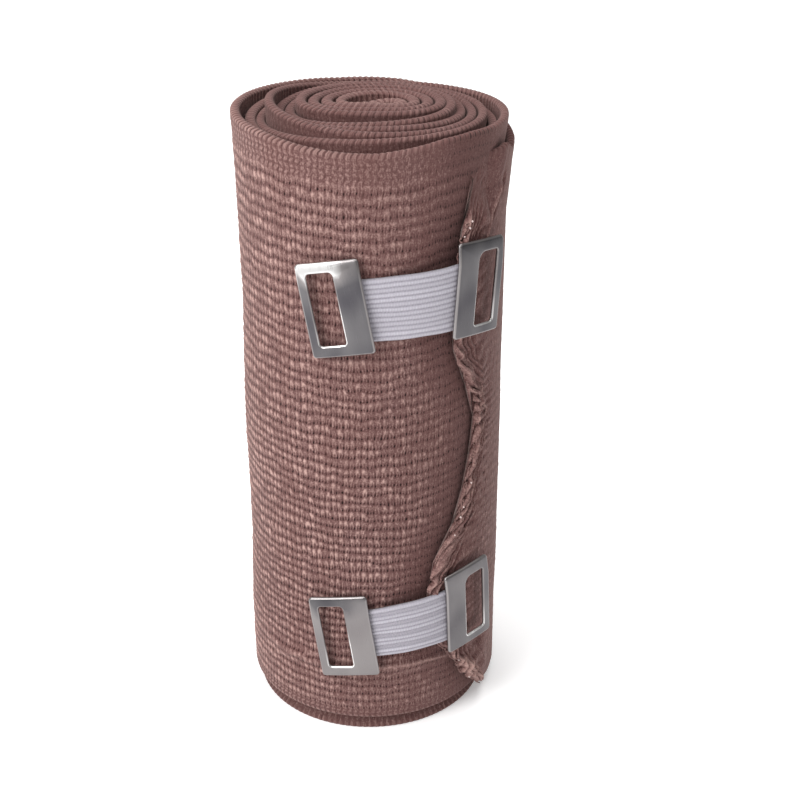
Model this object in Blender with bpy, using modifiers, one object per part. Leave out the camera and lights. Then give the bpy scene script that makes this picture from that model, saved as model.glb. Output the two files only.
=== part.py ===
"""Crepe bandage roll, 150 mm wide, standing on end, its loose end held by two elastic clips.

One strip of thick elastic crepe is wound in from its cut outer end to an oval eye. The turns are not level:
the outer turn is drawn up off the floor, and the core stands proud at the top. The cut end lies on the front,
to the right, in a wavy line. Each clip is a ribbed elastic with a slotted steel frame over either end.

Metres, +Z up, the origin on the floor at the middle of the roll.
"""
import math

import bmesh
import bpy
import numpy as np
from mathutils import Matrix, Vector

MM = 0.001
CLEARANCE = 0.3 * MM
FRONT = math.radians(-60.5)  # direction of the middle of the front, where the roll is usually seen from
AXIS = (-2.26 * MM, 1.33 * MM)  # the axis of the roll, from the middle of roll and clips together

# The cloth -----------------------------------------------------------------------------------------------

CLOTH_THICKNESS = 1.6 * MM
# One row for each turn, from the outermost in, in millimetres: the radius of the cloth's outer face where
# the turn passes the right, back, left and front of the roll, and the height of its upper selvedge there.
TURNS = np.array((
    # radius: right, back, left, front      top: right, back, left, front
    (31.4, 31.0, 30.6, 30.6, 143.6, 149.0, 149.2, 148.0),
    (29.4, 28.8, 27.5, 28.5, 149.2, 148.8, 148.4, 147.2),
    (27.4, 26.6, 25.2, 26.3, 147.2, 148.6, 147.9, 149.8),
    (25.4, 24.5, 23.2, 24.0, 149.6, 149.6, 152.6, 150.8),
    (23.5, 22.4, 21.2, 20.7, 149.6, 150.6, 149.9, 151.3),
    (21.3, 20.2, 18.5, 17.4, 150.2, 151.4, 149.9, 151.6),
    (19.1, 16.8, 16.1, 11.6, 151.8, 152.0, 152.5, 152.5),
    (16.9, 13.0, 13.2, 9.1, 152.2, 152.4, 152.2, 152.7),
    (14.0, 9.4, 10.2, 6.7, 152.2, 152.6, 152.4, 152.9),
    (11.0, 6.3, 7.0, 4.4, 152.3, 152.8, 152.4, 152.6),
))
LOOSE_END = (32.8, 138.0)  # radius and top, millimetres, a quarter turn before the first row
INNER_END = ((8.2, 152.0), (3.8, 151.0), (4.9, 150.4))  # at the right, back and left, after the last row
LAST_TURN = len(TURNS) + 0.5  # where the inner end lies, in turns from the right of the outermost turn
# The outermost turn's rim is not level either: its further rise in millimetres, by turns from the right.
RIM_RISE = np.array(((0, 0.3), (0.12, 0.2), (0.21, 0.5), (0.29, 0), (0.37, 0.5), (0.44, 1.1), (0.5, 1.4),
                     (0.61, 1.4), (0.67, 0.5), (0.72, 0), (0.76, -0.1), (0.8, 0.6), (0.84, 1.5), (0.88, 1.5),
                     (0.93, 0.7), (1, 0.3), (1.12, 0)))
CORE_OFFSET = 2.6 * MM  # the core lies this much nearer the front than the outer turns
CORE_TURNS = (3.0, 6.5)  # the turns between which that offset grows
OUTER_BOTTOM = 3.4 * MM  # the outer turn's lower selvedge is drawn up off the floor
OUTER_BOTTOM_TURNS = (0.86, 1.16)  # and comes down to it between these turns
CORE_BOTTOM = 2.6 * MM  # the core is drawn up too
CORE_BOTTOM_TURNS = (4.0, 9.0)
FLARE = 2.0 * MM  # the outer turns lean out at the top, on the right
FLARE_START = 127.0  # height in millimetres
FLARE_TURNS = (1.0, 5.0)  # the lean fades out between these turns
FOOT_SPREAD = 1.9 * MM  # the turns that stand on the floor spread outwards below the outer turn
FOOT_SHIFT = 0.8 * MM  # more on the left, and less on the right
FOOT_HEIGHT = 2.0  # height in millimetres
FOOT_TURNS = (2.0, 6.0)  # the spread fades out between these turns
# The outer turn's left side is not quite straight: heights in millimetres, and how far it stands out there.
LEFT_SIDE = np.array(((0, 0.5), (22, 0.5), (33, 0.2), (42, -0.1), (70, 0.2), (92, 0.0), (108, -0.4),
                      (127, -0.1), (137, 0.1), (149, 0.5)))

# Heights in millimetres of the outer turn's rows. The hidden turns keep only those in HIDDEN_ROWS.
ROWS = (3.4, 5.4, 9, 13, 16.4, 18.4, 20.4, 25, 33, 42, 49, 55, 62, 70, 78, 85, 92, 99, 108, FLARE_START,
        137, 148)
HIDDEN_ROWS = (3.4, 5.4, FLARE_START, 148)
SHOWN_TURNS = 1.12  # how far in from the loose end the strip keeps all its rows
SHOWN_STEP = 3.1 * MM  # length of one column there
HIDDEN_STEP = (1.5, 3.6)  # least and most length of a column further in, millimetres
HIDDEN_STEP_RATIO = 0.15  # and its length for each millimetre of radius

# The cut end: how far round from the front it lies, in degrees, at each height in millimetres.
CUT_END = np.array((
    # height, degrees
    (3.4, 66.0), (8.0, 49.0), (12.4, 42.6), (19.2, 36.3), (23.3, 28.1), (33.0, 24.5), (41.0, 24.3),
    (48.2, 28.0), (52.4, 31.5), (55.9, 37.2), (61.5, 41.6), (67.7, 43.1), (72.6, 47.3), (79.5, 49.7),
    (85.0, 50.0), (89.0, 46.4), (94.9, 40.1), (98.9, 36.7), (104.0, 34.5), (126.3, 36.7), (131.3, 40.6),
    (136.3, 44.3), (148.0, 47.6),
))
CUT_END_MEAN = 38.0  # degrees
CUT_END_REACH = 0.2  # turns behind the cut end over which its waves die out

# A pulled thread draws one low crease across the front, near the bottom.
CREASE_HEIGHT = 18.4
CREASE_WIDTH = 1.6  # both in millimetres
CREASE_RISE = 0.7 * MM
CREASE_TURNS = (0.57, 0.86)

# The clips -----------------------------------------------------------------------------------------------

PLATE_WIDTH = 14.4 * MM
PLATE_HEIGHT = 21.9 * MM
PLATE_THICKNESS = 0.9 * MM
PLATE_CORNER = 0.9 * MM
WIDE_BAR = 6.1 * MM  # over the elastic
NARROW_BAR = 2.2 * MM
UPPER_BAR = 2.3 * MM
LOWER_BAR = 2.7 * MM
SLOT_CORNER = 1.3 * MM
PLATE_EDGE = 0.22 * MM  # rounding of the stamped edges
CORNER_POINTS = 5

# Each plate: the side that its elastic lies on, degrees from the front, height in millimetres, lean in
# degrees, and how far its middle plane stands from the roll's axis, in millimetres.
PLATES = {
    # name: side, round, height, lean, radius
    "clip_upper_left": (1, -13.8, 113.6, 10.7, 32.65),
    "clip_upper_right": (-1, 44.5, 115.7, -5.5, 34.3),
    "clip_lower_left": (1, -12.6, 28.5, 8.8, 32.65),
    "clip_lower_right": (-1, 42.6, 33.2, 3.3, 34.3),
}

ELASTIC_THICKNESS = 0.75 * MM
RIB_RISE = 0.22 * MM
RIBS = 13
ELASTIC_COLUMNS = 15
ELASTIC_ROUNDING = 0.3 * MM  # how far it stands off where it bends over the cut end
ELASTIC_TUCK = 4.5 * MM  # length of each end under its plate's wide bar
# Each elastic: its two plates, width, height of its middle at the left and the right end, all in
# millimetres, and the degrees from the front at which the cloth's cut end passes under it.
ELASTICS = {
    # name: left plate, right plate, width, left height, right height, cut end
    "upper_elastic": ("clip_upper_left", "clip_upper_right", 15.2, 113.2, 114.9, 35.0),
    "lower_elastic": ("clip_lower_left", "clip_lower_right", 14.6, 29.2, 32.2, 24.0),
}


def smooth_step(low, high, value):
    """0 below low, 1 above high, and an S-shaped rise between."""
    share = min(max((value - low) / (high - low), 0.0), 1.0)
    return share * share * (3 - 2 * share)


def along_turns(stations, turn):
    """Catmull-Rom curve through values a quarter turn apart, the first a quarter turn before turn 0."""
    place = (turn + 0.25) * 4
    first = min(max(int(place), 0), len(stations) - 2)
    share = place - first
    last = len(stations) - 1
    before, start, end, after = (stations[min(max(first + step, 0), last)] for step in (-1, 0, 1, 2))
    return (start + 0.5 * share * (end - before
            + share * (2 * before - 5 * start + 4 * end - after
                       + share * (3 * (start - end) + after - before))))


RADII = (LOOSE_END[0], *TURNS[:, :4].ravel(), *(end[0] for end in INNER_END))
TOPS = (LOOSE_END[1], *TURNS[:, 4:].ravel(), *(end[1] for end in INNER_END))


def turn_at(degrees_from_front):
    """Turns from the right of the outermost turn to a direction on the front of the loose end."""
    return (degrees_from_front - 90) / 360


def bottom_at(turn):
    """Height of the lower selvedge."""
    lifted = OUTER_BOTTOM * (1 - smooth_step(*OUTER_BOTTOM_TURNS, turn))
    return lifted + CORE_BOTTOM * smooth_step(*CORE_BOTTOM_TURNS, turn)


def top_at(turn):
    """Height of the upper selvedge."""
    return (along_turns(TOPS, turn) + np.interp(turn, RIM_RISE[:, 0], RIM_RISE[:, 1])) * MM


def share_between(low, high, value):
    """0 at low, 1 at high, in proportion between, and no more on either side."""
    return min(max((value - low) / (high - low), 0.0), 1.0)


def outer_radius(turn, level):
    """Radius of the cloth's outer face, at a level in millimetres above the floor."""
    facing_right = math.cos(2 * math.pi * turn)
    lean = share_between(FLARE_START, TURNS[1, 4], level) * (1 - share_between(*FLARE_TURNS, turn))
    foot = share_between(FOOT_HEIGHT, 0, level) * (1 - share_between(*FOOT_TURNS, turn))
    uneven = np.interp(level, LEFT_SIDE[:, 0], LEFT_SIDE[:, 1]) * MM * (turn < 1)
    return (along_turns(RADII, turn) * MM + FLARE * max(facing_right, 0.0) ** 2 * lean
            + (FOOT_SPREAD - FOOT_SHIFT * facing_right) * foot + uneven * max(-facing_right, 0.0) ** 2)


def crease(turn, level):
    """Outward rise of the pulled thread's crease: a soft ridge along one row, at a level in millimetres."""
    ends = 0.06
    along = (smooth_step(CREASE_TURNS[0], CREASE_TURNS[0] + ends, turn)
             * (1 - smooth_step(CREASE_TURNS[1] - ends, CREASE_TURNS[1], turn)))
    return CREASE_RISE * along * math.exp(-((level - CREASE_HEIGHT) / CREASE_WIDTH) ** 2)


def on_roll(radius, angle, height):
    """Point at a distance and a direction from the roll's axis."""
    return Vector((AXIS[0] + radius * math.cos(angle), AXIS[1] + radius * math.sin(angle), height))


def face_point(turn, height):
    """Point of the cloth's outer face, for a place along the strip and a row's height in millimetres."""
    share = (height - ROWS[0]) / (ROWS[-1] - ROWS[0])
    bottom = bottom_at(turn)
    level = bottom + share * (top_at(turn) - bottom)
    cut = np.interp(level / MM, CUT_END[:, 0], CUT_END[:, 1])
    behind = share_between(0, CUT_END_REACH, turn - turn_at(CUT_END_MEAN))
    turn += (cut - CUT_END_MEAN) / 360 * (1 - behind) ** 2
    radius = outer_radius(turn, level / MM) + crease(turn, level / MM)
    offset = CORE_OFFSET * smooth_step(*CORE_TURNS, turn)
    core = Vector((offset * math.cos(FRONT), offset * math.sin(FRONT), 0))
    return core + on_roll(radius, FRONT + math.pi / 2 + 2 * math.pi * turn, level)


def cloth_point(turn, height, side):
    """Point of the cloth, on its inner face at side 0 and its outer face at side 1."""
    step = 0.003
    along = face_point(turn + step, height) - face_point(turn - step, height)
    inwards = Vector((-along.y, along.x, 0)).normalized()
    return face_point(turn, height) + inwards * CLOTH_THICKNESS * (1 - side)


def strip_columns():
    """Places along the strip, in turns, a column's length apart: long ones where the cloth is hidden."""
    columns = [turn_at(CUT_END_MEAN)]
    while columns[-1] < LAST_TURN:
        radius = along_turns(RADII, columns[-1]) * MM
        step = SHOWN_STEP
        if columns[-1] > SHOWN_TURNS:
            step = min(max(radius * HIDDEN_STEP_RATIO, HIDDEN_STEP[0] * MM), HIDDEN_STEP[1] * MM)
        columns.append(columns[-1] + step / (2 * math.pi * radius))
    return columns


def material(name, colour, roughness, metallic=0.0):
    """A plain finish for one piece."""
    finish = bpy.data.materials.new(name)
    finish.use_nodes = True
    shader = finish.node_tree.nodes["Principled BSDF"]
    shader.inputs["Base Color"].default_value = (*colour, 1.0)
    shader.inputs["Roughness"].default_value = roughness
    shader.inputs["Metallic"].default_value = metallic
    return finish


def add_piece(name, mesh, finish):
    """Link a mesh as one named piece of the model, round faces smooth and edges sharp."""
    mesh.shade_smooth()
    mesh.set_sharp_from_angle(angle=math.radians(35))
    piece = bpy.data.objects.new(name, mesh)
    piece.data.materials.append(finish)
    model.objects.link(piece)
    return piece


def sheet_mesh(name, columns, rows, place, hidden=None):
    """A flat slab of columns and rows, each corner then carried to place(column, row, side).

    The slab's edges stay level all round, so that a wound strip stands flat on its selvedge.
    """
    bm = bmesh.new()
    bmesh.ops.create_grid(bm, x_segments=columns - 1, y_segments=rows - 1, size=0.5)

    def grid_place(vert):
        return round((vert.co.x + 0.5) * (columns - 1)), round((vert.co.y + 0.5) * (rows - 1))

    if hidden:
        edges = [edge for edge in bm.edges if hidden(*(grid_place(vert) for vert in edge.verts))]
        bmesh.ops.dissolve_edges(bm, edges=edges, use_verts=True)
    upper = bmesh.ops.extrude_face_region(bm, geom=bm.faces[:])["geom"]
    corners = [part for part in upper if isinstance(part, bmesh.types.BMVert)]
    bmesh.ops.translate(bm, vec=(0, 0, 1), verts=corners)
    bmesh.ops.recalc_face_normals(bm, faces=bm.faces)
    for vert in bm.verts:
        vert.co = place(*grid_place(vert), round(vert.co.z))
    mesh = bpy.data.meshes.new(name)
    bm.to_mesh(mesh)
    bm.free()
    return mesh


def build_roll():
    """The wound strip, one solid from its cut end to its inner end."""
    turns = strip_columns()

    def hidden_row(first, second):
        same_row = first[1] == second[1]
        inside = min(turns[first[0]], turns[second[0]]) > SHOWN_TURNS
        return same_row and inside and ROWS[first[1]] not in HIDDEN_ROWS

    mesh = sheet_mesh("bandage_roll", len(turns), len(ROWS),
                      lambda column, row, side: cloth_point(turns[column], ROWS[row], side), hidden_row)
    add_piece("bandage_roll", mesh, material("crepe", (0.27, 0.14, 0.12), 0.9))


def elastic_radius(round_from_front, cut_end):
    """Inner radius of an elastic: on the roll, then straight up over the cut end, then on the loose end."""
    rest = TURNS[0, 3] * MM + CLEARANCE
    bend = ELASTIC_ROUNDING * (1 - share_between(cut_end, cut_end + 10, round_from_front))
    over = along_turns(RADII, turn_at(round_from_front)) * MM + CLEARANCE + bend
    top = along_turns(RADII, turn_at(cut_end)) * MM + CLEARANCE + ELASTIC_ROUNDING
    lift_off = cut_end - 3 - math.degrees(math.acos(rest / top))
    straight = rest / math.cos(math.radians(min(max(round_from_front - lift_off, 0.0), 45.0)))
    softness = ELASTIC_ROUNDING / 2
    return over - softness * math.log1p(math.exp((over - straight) / softness))


def build_elastic(name, left_plate, right_plate, width, left_height, right_height, cut_end):
    """A flat ribbed elastic, curved round the roll, with each end tucked under a plate's wide bar."""
    tuck = math.degrees((PLATE_WIDTH / 2 - ELASTIC_TUCK) / (TURNS[0, 3] * MM))
    start = PLATES[left_plate][1] + tuck
    end = PLATES[right_plate][1] - tuck
    rows = 2 * RIBS + 1

    def point(column, row, side):
        share = column / (ELASTIC_COLUMNS - 1)
        degrees = start + share * (end - start)
        middle = left_height + share * (right_height - left_height)
        height = (middle + width * (row / (rows - 1) - 0.5)) * MM
        thickness = ELASTIC_THICKNESS + RIB_RISE * (row % 2)
        radius = elastic_radius(degrees, cut_end) + thickness * side
        return on_roll(radius, FRONT + math.radians(degrees), height)

    add_piece(name, sheet_mesh(name, ELASTIC_COLUMNS, rows, point),
              material(name + "_white", (0.68, 0.66, 0.72), 0.8))


def rounded_outline(curve, left, right, bottom, top, corner):
    """Add a closed rectangle with round corners to a flat curve."""
    centres = ((right - corner, top - corner, 0), (left + corner, top - corner, 90),
               (left + corner, bottom + corner, 180), (right - corner, bottom + corner, 270))
    points = []
    for x, y, start in centres:
        for step in range(CORNER_POINTS):
            angle = math.radians(start + 90 * step / (CORNER_POINTS - 1))
            points.append((x + corner * math.cos(angle), y + corner * math.sin(angle), 0, 1))
    spline = curve.splines.new("POLY")
    spline.points.add(len(points) - 1)
    for spline_point, co in zip(spline.points, points):
        spline_point.co = co
    spline.use_cyclic_u = True


def plate_mesh():
    """The stamped steel plate with its slot, lying flat, the elastic's side towards +X."""
    curve = bpy.data.curves.new("plate_outline", "CURVE")
    curve.dimensions = "2D"
    curve.fill_mode = "BOTH"
    curve.extrude = PLATE_THICKNESS / 2
    half_width, half_height = PLATE_WIDTH / 2, PLATE_HEIGHT / 2
    rounded_outline(curve, -half_width, half_width, -half_height, half_height, PLATE_CORNER)
    rounded_outline(curve, NARROW_BAR - half_width, half_width - WIDE_BAR,
                    LOWER_BAR - half_height, half_height - UPPER_BAR, SLOT_CORNER)
    outline = bpy.data.objects.new("plate_outline", curve)
    model.objects.link(outline)
    bpy.context.view_layer.update()
    solid = outline.evaluated_get(bpy.context.evaluated_depsgraph_get())
    mesh = bpy.data.meshes.new_from_object(solid)
    bpy.data.objects.remove(outline)
    bm = bmesh.new()
    bm.from_mesh(mesh)
    bmesh.ops.remove_doubles(bm, verts=bm.verts, dist=0.01 * MM)
    bmesh.ops.dissolve_limit(bm, angle_limit=math.radians(1), verts=bm.verts, edges=bm.edges)
    bm.to_mesh(mesh)
    bm.free()
    return mesh


def build_plate(name, side, round_from_front, height, lean, radius, mesh):
    """Stand one plate on its tangent to the roll; side -1 turns it round, for the elastic's other end."""
    plate = add_piece(name, mesh.copy(), material(name + "_steel", (0.5, 0.5, 0.49), 0.35, 1.0))
    angle = FRONT + math.radians(round_from_front)
    outward = Vector((math.cos(angle), math.sin(angle), 0))
    across = Vector((-math.sin(angle), math.cos(angle), 0))
    tangent_frame = Matrix((across, Vector((0, 0, 1)), outward)).transposed().to_4x4()
    turned = math.radians(lean if side > 0 else lean + 180)
    place = Matrix.Translation(on_roll(radius * MM, angle, height * MM))
    plate.matrix_world = place @ tangent_frame @ Matrix.Rotation(turned, 4, "Z")
    rounding = plate.modifiers.new("stamped edges", "BEVEL")
    rounding.width = PLATE_EDGE
    rounding.segments = 2
    rounding.limit_method = "ANGLE"
    rounding.angle_limit = math.radians(50)


for startup_object in list(bpy.data.objects):
    bpy.data.objects.remove(startup_object)
model = bpy.data.collections.new("crepe_bandage_roll")
bpy.context.scene.collection.children.link(model)

build_roll()
for elastic_name, measures in ELASTICS.items():
    build_elastic(elastic_name, *measures)
flat_plate = plate_mesh()
for plate_name, measures in PLATES.items():
    build_plate(plate_name, *measures, flat_plate)
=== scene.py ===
"""Looks of the crepe bandage roll: stitched cloth, ribbed elastics and stamped steel clips, in soft light.

Metres, +Z up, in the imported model's frame. The cloth is one wound strip. A place on it is given by a turn,
counted from the right of the outermost turn inwards, and a level above the floor. Its stitches stand in
columns, called wales, and rows, called courses, and every cloth grid runs along those.
"""
import math

import bpy
import numpy as np
from mathutils import Matrix, Vector


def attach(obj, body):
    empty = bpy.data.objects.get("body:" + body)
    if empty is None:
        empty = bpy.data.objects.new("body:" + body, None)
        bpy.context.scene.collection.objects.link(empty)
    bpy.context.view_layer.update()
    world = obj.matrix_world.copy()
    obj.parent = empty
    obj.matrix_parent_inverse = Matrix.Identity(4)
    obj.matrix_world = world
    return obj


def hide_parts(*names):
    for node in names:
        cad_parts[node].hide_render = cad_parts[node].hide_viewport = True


MM = 0.001
FRONT = math.radians(-60.5)  # direction of the middle of the front
AXIS = (-2.26 * MM, 1.33 * MM)  # the axis of the roll

# The wound strip, as in the part's source -----------------------------

CLOTH_THICKNESS = 1.6 * MM
TURNS = np.array((
    # radius: right, back, left, front      top: right, back, left, front
    (31.4, 31.0, 30.6, 30.6, 143.6, 149.0, 149.2, 148.0),
    (29.4, 28.8, 27.5, 28.5, 149.2, 148.8, 148.4, 147.2),
    (27.4, 26.6, 25.2, 26.3, 147.2, 148.6, 147.9, 149.8),
    (25.4, 24.5, 23.2, 24.0, 149.6, 149.6, 152.6, 150.8),
    (23.5, 22.4, 21.2, 20.7, 149.6, 150.6, 149.9, 151.3),
    (21.3, 20.2, 18.5, 17.4, 150.2, 151.4, 149.9, 151.6),
    (19.1, 16.8, 16.1, 11.6, 151.8, 152.0, 152.5, 152.5),
    (16.9, 13.0, 13.2, 9.1, 152.2, 152.4, 152.2, 152.7),
    (14.0, 9.4, 10.2, 6.7, 152.2, 152.6, 152.4, 152.9),
    (11.0, 6.3, 7.0, 4.4, 152.3, 152.8, 152.4, 152.6),
))
LOOSE_END = (32.8, 138.0)  # radius and top, millimetres, a quarter turn before the first row
INNER_END = ((8.2, 152.0), (3.8, 151.0), (4.9, 150.4))
RADII = np.array((LOOSE_END[0], *TURNS[:, :4].ravel(), *(end[0] for end in INNER_END))) * MM
TOPS = np.array((LOOSE_END[1], *TURNS[:, 4:].ravel(), *(end[1] for end in INNER_END))) * MM
LAST_TURN = len(TURNS) + 0.5
RIM_RISE = np.array(((0, 0.3), (0.12, 0.2), (0.21, 0.5), (0.29, 0), (0.37, 0.5), (0.44, 1.1), (0.5, 1.4),
                     (0.61, 1.4), (0.67, 0.5), (0.72, 0), (0.76, -0.1), (0.8, 0.6), (0.84, 1.5), (0.88, 1.5),
                     (0.93, 0.7), (1, 0.3), (1.12, 0)))
CORE_OFFSET = 2.6 * MM
CORE_TURNS = (3.0, 6.5)
OUTER_BOTTOM = 3.4 * MM
OUTER_BOTTOM_TURNS = (0.86, 1.16)
CORE_BOTTOM = 2.6 * MM
CORE_BOTTOM_TURNS = (4.0, 9.0)
FLARE = 2.0 * MM
FLARE_LEVELS = (127.0 * MM, 149.2 * MM)
FLARE_TURNS = (1.0, 5.0)
FOOT_SPREAD = 1.9 * MM
FOOT_SHIFT = 0.8 * MM
FOOT_HEIGHT = 2.0 * MM
FOOT_TURNS = (2.0, 6.0)
LEFT_SIDE = np.array(((0, 0.5), (22, 0.5), (33, 0.2), (42, -0.1), (70, 0.2), (92, 0.0), (108, -0.4),
                      (127, -0.1), (137, 0.1), (149, 0.5))) * MM
CUT_END = np.array((
    # height in millimetres, degrees round from the front
    (4.2, 59.5), (8.0, 48.5), (12.4, 42.6), (19.2, 36.3), (23.3, 28.1), (33.0, 24.5), (41.0, 24.3),
    (48.2, 28.0), (52.4, 31.5), (55.9, 37.2), (61.5, 41.6), (67.7, 43.1), (72.6, 47.3), (79.5, 49.7),
    (85.0, 50.0), (89.0, 46.4), (94.9, 40.1), (98.9, 36.7), (104.0, 34.5), (126.3, 36.7), (131.3, 40.6),
    (136.3, 44.3), (148.0, 47.6),
))
CUT_END_STEPS = (-3, -1.5, 0, 1.5, 3)  # the line is a mean over these heights
CUT_END_MEAN = 38.0
CUT_END_REACH = 0.2
CREASE_LEVEL = 18.4 * MM
CREASE_WIDTH = 1.6 * MM
CREASE_RISE = 0.7 * MM
CREASE_TURNS = (0.57, 0.86)

# The stitches ---------------------------------------------------------

WALE = 1.43 * MM  # width of one column of stitches
COURSES = 60  # rows of stitches from selvedge to selvedge
COURSE = 2.45 * MM  # height of one
COURSE_SPREAD = 0.115  # the top course is higher than the middle one by this share, the bottom one lower
STITCH_RELIEF = 0.40 * MM  # from a slit up to a stitch's head
RELIEF_SHARES = (0.15, 0.8)  # the least and the most of it that the surface gets, whatever its strength
FACE_MIDDLE = 0.55  # the stitches' height that lies on the strip's smooth face
EDGE_RADIUS = CLOTH_THICKNESS / 2  # both selvedges and both ends are round
# one stitch, in shares of the relief, in wales across and in courses up
BAND = (0.40, 0.045, 0.12)  # mean height of a course, its swing, and how far up it is lowest
HEAD = (0.48, 0.34)  # height of the head, and how much it varies by chance
HEAD_SIZE = (0.25, 0.21)  # half its width and half its height
HEAD_UP = 0.66  # its place up the course
HEAD_STRAY = (0.07, 0.09)  # how far it strays across and up
LEG = (0.34, 0.10)  # height of a leg, and how much it varies
LEG_ACROSS = (0.24, 0.12)  # its distance from the stitch's middle, and half its width
SLIT = (0.55, 0.15)  # depth and half width of the slit between neighbours
LEG_SLIT = (0.25, 0.10)  # the same for the slit between the two legs
SLIT_UP = (0.06, 0.18)  # middle and half height of both slits
SLIT_SIZE = (0.20 * MM, 0.42 * MM)  # half width and half height of their dark insides
LEAN_AT = 0.6  # a stitch leans round this height of its course
BEAD_GAP = 0.18  # half width of the gap between two beads, in wales
SELVEDGE_ROWS = 2.0  # rows of stitches a course, next to both selvedges
SELVEDGE_LEAN = 0.45  # how far these lean to and fro, in wales
SELVEDGE = (0.22, 0.44)  # height of the grooves there, and of the beads over them
HERRINGBONE = 0.55  # lean of the two courses next to the upper selvedge, one each way
# how strongly the stitches stand out: the front's share, and what is added elsewhere
STRENGTH = {"front": 1.1, "left": 0.55, "right": -0.4, "upper right": -0.25, "upper": -0.4, "foot": -0.35}
INNER_STRENGTH = 0.65
LOOSE_CALM, FRAYED_CALM = 0.6, 0.9  # shares of their strength that the stitches lose on the loose end
# how unevenly the cloth is knitted: wide sways of its wales and courses, and small ones of its stitches
WALE_WANDER = 0.35
COURSE_WANDER = ((2, 0.28, 13, 5), (3, 0.10, 4, 2))  # seed, amount, width, height
UNEVEN_WALES, UNEVEN_COURSES = 0.20, 0.18
CLOTH_DENTS = 0.16 * MM
# the rims
RIM_SLANT = (0.85, 0.4)  # the ribs over the rim slant by so many wales, and turn at this share of the depth
RIM_BEAD = 0.26 * MM
INNER_BEAD = 0.20 * MM
RIM_FILL = 0.46  # the rim of a turn fills this share of the gap to either neighbour
RIM_FILL_MOST = 0.9 * MM  # wider gaps are filled as if they were this wide
OUTER_FILL = 0.1 * MM  # the outermost turn's rim, outwards

# How light the cloth's colour is, from 0 in its slits to 1 on its heads: painted shade and painted light
TONE = 0.42  # where the cloth is flat
TONE_SPREAD = (0.17, 0.83)  # share of the stitches' height that is seen on flat cloth, and more by strength
INNER_TONE = (0.16, 0.42)  # painted shade on the inner face in its grooves, and painted light on its ribs over them
ROW_LIGHT_AND_SHADE = 0.07  # soft rows of painted light and shade where the stitches are flat, at the upper right
INNER_CALM = 0.15  # share of contrast that the inner turns lose
EYE_PAINTED_LIGHT = 0.08  # painted light round the eye, which lifts the shade in it
RIM_SHADOW = (0.05, 1.2)  # less light near the inner turns' rims, and share of it that the core doesn't get
PAINTED_LIGHT_FROM_ABOVE = (0.06, 1.4)  # painted light towards the upper edge and painted shade towards the lower one, less so on the right
FOOT_PAINTED_LIGHT = 0.03  # painted light on the lowest courses

# The loose end is soft and frayed. Its dents, threads and folds are measured in millimetres.
OUTER_RADIUS = 32.0  # of its cloth, for distances along it
FOLD_LEAN = math.radians(24)  # its folds lean over from upright
FOLDS = ((21, 0.65, 1.2, 10), (22, 0.45, 0.6, 5))  # noise: seed, share, width, length
FOLD_HEIGHT = (0.07, 0.12)  # everywhere, and more of it by the cut end
DENTS = (
    # degrees from the front, height, half width, half height, depth; below 0 it bulges
    (66.0, 136.1, 0.9, 2.6, 0.9),
    (57.0, 133.0, 0.9, 4.0, 0.5),
    (52.0, 128.5, 2.2, 5.0, -0.5),
    (60.0, 141.0, 3.5, 2.4, -0.4),
    (55.0, 17.5, 2.6, 1.6, 1.2),
    (58.5, 10.5, 2.8, 4.0, -1.1),
    (52.0, 13.0, 1.8, 2.5, -0.6),
    (47.0, 58.0, 1.6, 6.0, 0.35),
    (41.0, 66.0, 1.4, 6.0, -0.3),
    (58.0, 84.0, 1.6, 7.0, 0.35),
    (52.0, 92.0, 1.6, 5.0, -0.35),
)
UPPER_FOLD = ((126.0, 52.5), (137.0, 65.5))  # a sharp fold: height and degrees from the front at both ends
UPPER_FOLD_SIZE = (0.5, 0.45, 1.1, 0.6)  # height, half width, place and half width of the dip beside it
CORNER_RISE = 1.6 * MM  # the lower edge rises this much towards the corner that curls up
CURLED_LEVELS = (13 * MM, 19 * MM)  # the corner is curled up below these levels
CURLED_HEIGHT = 4.2  # and its roll is higher by so many times
TUCKED_CORNER = (47.0, 63.0)  # degrees between which the upper edge rises and is pressed flat on the roll
TUCKED_RISE = 3.0 * MM
TUCKED_LEVELS = (129.0 * MM, 137.0 * MM)
LOOSE_SHADOW = (0.03, 100 * MM, 125 * MM)  # less light on the loose end, up to these levels
CUT_END_LIFT = 0.45 * MM
CUT_END_LIFT_REACH = 3 * MM
CUT_END_BEAD = 0.3 * MM
PUCKER = 3.8 * MM  # height from one pucker of the cut end to the next
PUCKER_RISE = 1.0 * MM
PUCKER_REACH = 7.0 * MM
PUCKER_MIDDLE = 0.55  # the share of a pucker's height that lies on the smooth cloth
PUCKER_SLANT = 1.9  # rise of a pucker along the cloth
PUCKER_TURN = (70.0 * MM, 96.0 * MM, 108.0 * MM, 122.0 * MM)  # levels where the puckers change their slant
WAVY_CUT = (1.5, 0.6, 0.4, 1.2)  # degrees: waves with the puckers, their middle, and noise, so many mm high
PULLED_YARN = np.array((
    # degrees from the front and height of a yarn that stands out of the cloth, below the lower clips
    (-60, 13.5), (-45, 17.2), (-33, 19.8), (-22, 21.0), (-13, 20.5), (0, 19.2), (25, 19.0), (38, 17.6),
))
PULLED_YARN_RISE = 0.42 * MM
PULLED_YARN_WIDTH = 0.5 * MM
STRANDS = 46  # loose yarns that lie up and away from the cut end
STRAND_FEET = (5.0, 113.0)  # the lowest and the highest foot
STRAND_REACH = (2.0, 6.0)  # how far from the cut end their tips lie
STRAND_CLIMB = (5.0, 10.0)  # how far up they lie
STRANDS_DOWN = (88, 112)  # between these heights they lie downwards
LOOPS = 120  # small loops of yarn along the cut
LOOP_FEET = (4.5, 130)
LOOP_HEIGHT = 1.25  # from foot to foot of a loop
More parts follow.
